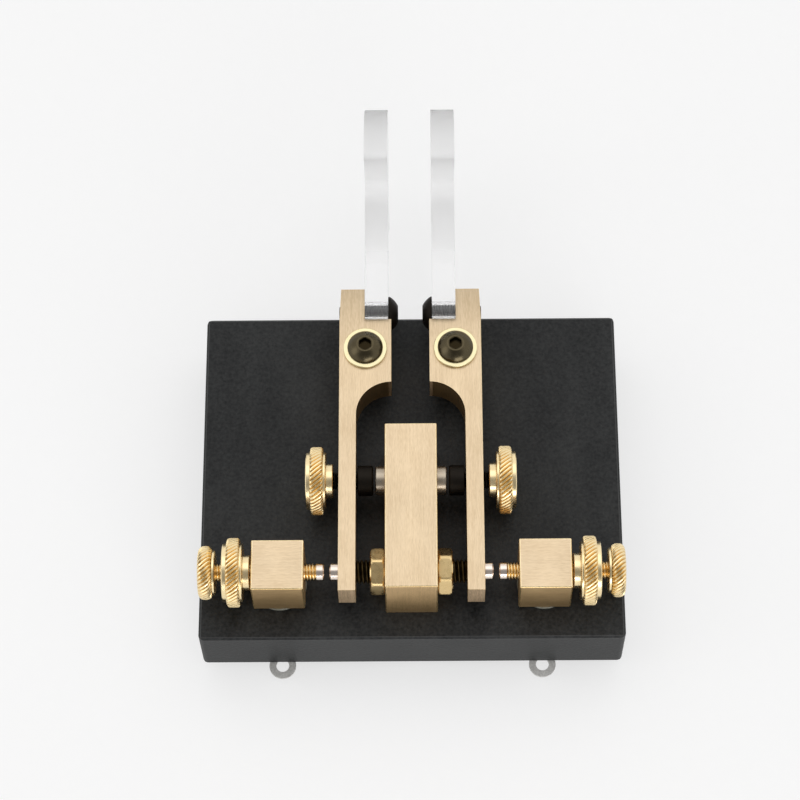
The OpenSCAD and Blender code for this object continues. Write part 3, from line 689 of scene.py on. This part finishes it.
def contact_post(side):
    post = middle(side + "_contact_post")
    soften(side + "_contact_post", 0.12, ["brushed_brass_x", "brass_edge"])
    soften(side + "_solder_lug", 0.06, ["dull_tin"])
    sleeve_end, face = heights(side + "_post_washer")
    profile = top_hat(sleeve_end, face - POST_FLANGE_T, face)
    tube(side + "_post_washer", post.x, post.y, profile, "nylon_washer")
    face, sleeve_end = heights(side + "_under_washer")
    profile = top_hat(sleeve_end, face + UNDER_FLANGE_T, face)
    tube(side + "_under_washer", post.x, post.y, profile, "nylon_washer")
    head_top = heights(side + "_post_screw")[0] + HEAD_H
    button_screw(side + "_post_screw", upside_down(post.x, post.y, head_top), "oxide_plain")


def magnet_and_stop(side, sign, nut_turn):
    inner, outer = reach(side + "_magnet")
    turned_pin(side + "_magnet", sign, [(MAGNET_R - 0.15, inner), (MAGNET_R, inner + 0.15),
                                        (MAGNET_R, outer - 0.18), (MAGNET_R - 0.18, outer)],
               "nickel_magnet", MAGNET)
    set_screw(side + "_stop_screw", sign)
    hexagon_nut(side + "_stop_nut", sign, nut_turn)


def pivot(side, sign):
    x, y = sign * PIVOT.x, PIVOT.y
    bottom, top = heights(side + "_pivot_bush")
    flange = heights(side + "_lever")[0] - PIVOT_PLAY
    tube(side + "_pivot_bush", x, y,
         [(CLEAR_R, bottom), (BUSH_R - 0.1, bottom), (BUSH_R, bottom + 0.1), (BUSH_R, flange - 0.1),
          (BUSH_R - 0.1, flange), (JOURNAL_R, flange), (JOURNAL_R, top - 0.05), (JOURNAL_R - 0.05, top),
          (CLEAR_R, top)], "pale_pivot_" + side)
    bottom, top = heights(side + "_pivot_washer")
    edge = 0.09
    tube(side + "_pivot_washer", x, y,
         [(CLEAR_R, bottom + edge), (CLEAR_R + edge, bottom), (PIVOT_WASHER_R - edge, bottom),
          (PIVOT_WASHER_R, bottom + edge), (PIVOT_WASHER_R, top - edge), (PIVOT_WASHER_R - edge, top),
          (CLEAR_R + edge, top), (CLEAR_R, top - edge)], "pale_pivot_" + side, WASHER_POINTS)
    button_screw(side + "_pivot_screw", upright(x, y, top + SEAT_GAP), "oxide_pivot_" + side)


def lever_and_screws(side, sign):
    brass = ["brushed_brass_lever_shaded_end", "brass_shaded_curve", "brass_sawn", "brass_edge"]
    soften(side + "_lever", 0.1, brass, lever=True)
    soften(side + "_finger_piece", 0.12, ["clear_acrylic", "frosted_acrylic"], broad_x=True)
    hole = middle(side + "_finger_screw")
    seat = reach(side + "_finger_screw")[0] + HEAD_H
    facing_in = Matrix.Rotation(-sign * math.pi / 2, 4, "Y")
    place = Matrix.Translation((sign * seat, hole.y, hole.z)) @ facing_in
    # Painted shade: the finger screw takes the darkened black oxide
    button_screw(side + "_finger_screw", place, "shaded_oxide_contact", thread=True)
    inner, outer = reach(side + "_lever_contact")
    seat = outer - RIVET_H
    turned_pin(side + "_lever_contact", sign,
               [(SILVER_SHANK_R - 0.05, inner), (SILVER_SHANK_R, inner + 0.05), (SILVER_SHANK_R, seat),
                (SILVER_R - 0.06, seat), (SILVER_R, seat + 0.06), (SILVER_R, outer - 0.2),
                (SILVER_R - 0.2, outer)], "silver_contact", AXIS)
    magnet_screw(side + "_magnet_screw", sign)
    thumb_nut(side + "_magnet_knob", sign, MAGNET, "gold_magnet")


def contact_and_lock_nut(side, sign):
    inner, outer = reach(side + "_contact_tip")
    seat = inner + TIP_L
    turned_pin(side + "_contact_tip", sign,
               [(SILVER_R - 0.2, inner), (SILVER_R, inner + 0.2), (SILVER_R, seat - 0.06),
                (SILVER_R - 0.06, seat), (SILVER_SHANK_R, seat), (SILVER_SHANK_R, outer - 0.05),
                (SILVER_SHANK_R - 0.05, outer)], "silver_contact", AXIS)
    contact_screw(side + "_contact_screw", sign)
    thumb_nut(side + "_lock_nut", sign, AXIS, "gold_contact")


NUT_TURNS = {"left": 36, "right": 72}
base_and_feet()
centre_block()
for side, sign in SIDES:
    contact_post(side)
    magnet_and_stop(side, sign, NUT_TURNS[side])
    pivot(side, sign)
    lever_and_screws(side, sign)
    contact_and_lock_nut(side, sign)


# Floor, light and camera

def floor():
    """A pale floor that keeps its tone in the camera's eye and takes the object's soft shadow."""
    bpy.ops.mesh.primitive_plane_add(size=4.0, location=(0, 0, -0.00005))
    plane = bpy.context.object
    plane.name = "floor"
    tree, shader = start(
        "pale_floor", Roughness=0.8, Specular_IOR_Level=0.1, Emission_Color=(1.0, 1.0, 1.0, 1))
    grain = even(tree, millimetres(tree), 0.5, 2.0)
    path = tree.nodes.new("ShaderNodeLightPath")
    seen = calc(tree, "MAXIMUM", path.outputs["Is Camera Ray"], path.outputs["Is Glossy Ray"])
    seen = calc(tree, "MAXIMUM", seen, path.outputs["Is Transmission Ray"])
    lit, direct = ramp(tree, grain, FLOOR_LIT, 0.3, 0.7), ramp(tree, grain, FLOOR_SEEN, 0.3, 0.7)
    tree.links.new(mix_colours(tree, seen, lit, direct), shader.inputs["Base Color"])
    tree.links.new(calc(tree, "MULTIPLY", seen, FLOOR_GLOW), shader.inputs["Emission Strength"])
    plane.data.materials.append(MATERIALS["pale_floor"])


def world():
    """A plain bright room. What metal mirrors of it is dimmer high on the near side."""
    scattered, direct, dimmest = 0.55, 0.91, 0.3
    dim_side, dim_from, dim_to = (0.0, -0.64, 0.77), 0.55, 0.98
    studio = bpy.data.worlds.new("studio")
    bpy.context.scene.world = studio
    studio.use_nodes = True
    tree = studio.node_tree
    background = tree.nodes["Background"]
    background.inputs["Color"].default_value = (1.0, 1.0, 1.0, 1)
    path = tree.nodes.new("ShaderNodeLightPath")
    toward = tree.nodes.new("ShaderNodeTexCoord").outputs["Generated"]
    near = wire(tree, "VectorMath", {0: toward, 1: dim_side}, operation="DOT_PRODUCT").node.outputs["Value"]
    mirrored = between(tree, near, 1.0, dimmest, dim_from, dim_to)
    mirrored.node.interpolation_type = "SMOOTHSTEP"
    straight = calc(tree, "MAXIMUM", path.outputs["Is Camera Ray"], path.outputs["Is Transmission Ray"])
    strength = mix_values(tree, path.outputs["Is Glossy Ray"], scattered, mirrored)
    tree.links.new(mix_values(tree, straight, strength, direct), background.inputs["Strength"])


def area_light(name, place, size, power):
    """A rectangular lamp that looks at the object."""
    target = Vector((0.0, 0.01, 0.01))
    lamp = bpy.data.lights.new(name, "AREA")
    lamp.shape = "RECTANGLE"
    lamp.size, lamp.size_y = size
    lamp.energy = power
    item = bpy.data.objects.new(name, lamp)
    item.location = place
    item.rotation_euler = (target - Vector(place)).to_track_quat("-Z", "Y").to_euler()
    bpy.context.scene.collection.objects.link(item)


def photo_camera():
    """The camera at the photograph's place, found from the base plate, posts and block together."""
    image_px, sensor_mm = 800, 36.0
    elevation, yaw, roll = math.radians(65.536), math.radians(-1.142), math.radians(-1.443)
    focal_px, distance, target = 2702.0, 485.468, Vector((-2.0, 19.555, 3.2))
    level = math.cos(elevation)
    ahead = Vector((math.sin(yaw) * level, math.cos(yaw) * level, -math.sin(elevation)))
    right = ahead.cross(Vector((0, 0, 1))).normalized()
    up = right.cross(ahead)
    rolled_right = math.cos(roll) * right + math.sin(roll) * up
    rolled_up = -math.sin(roll) * right + math.cos(roll) * up
    lens = bpy.data.cameras.new("photo_camera")
    lens.sensor_fit = "HORIZONTAL"
    lens.sensor_width = sensor_mm
    lens.lens = sensor_mm * focal_px / image_px
    lens.clip_start, lens.clip_end = 0.01, 10.0
    camera = bpy.data.objects.new("photo_camera", lens)
    turn = Matrix((rolled_right, rolled_up, -ahead)).transposed().to_4x4()
    camera.matrix_world = Matrix.Translation((target - ahead * distance) * MM) @ turn
    bpy.context.scene.collection.objects.link(camera)
    bpy.context.scene.camera = camera


floor()
world()
area_light("overhead", (0.0, 0.30, 0.75), (0.9, 0.6), 0.9)
area_light("front", (0.25, -0.8, 0.22), (0.6, 0.3), 2.0)
area_light("left_fill", (-0.7, -0.1, 0.35), (0.4, 0.5), 0.5)
photo_camera()
bpy.context.scene.view_settings.view_transform = "Standard"
bpy.context.view_layer.update()
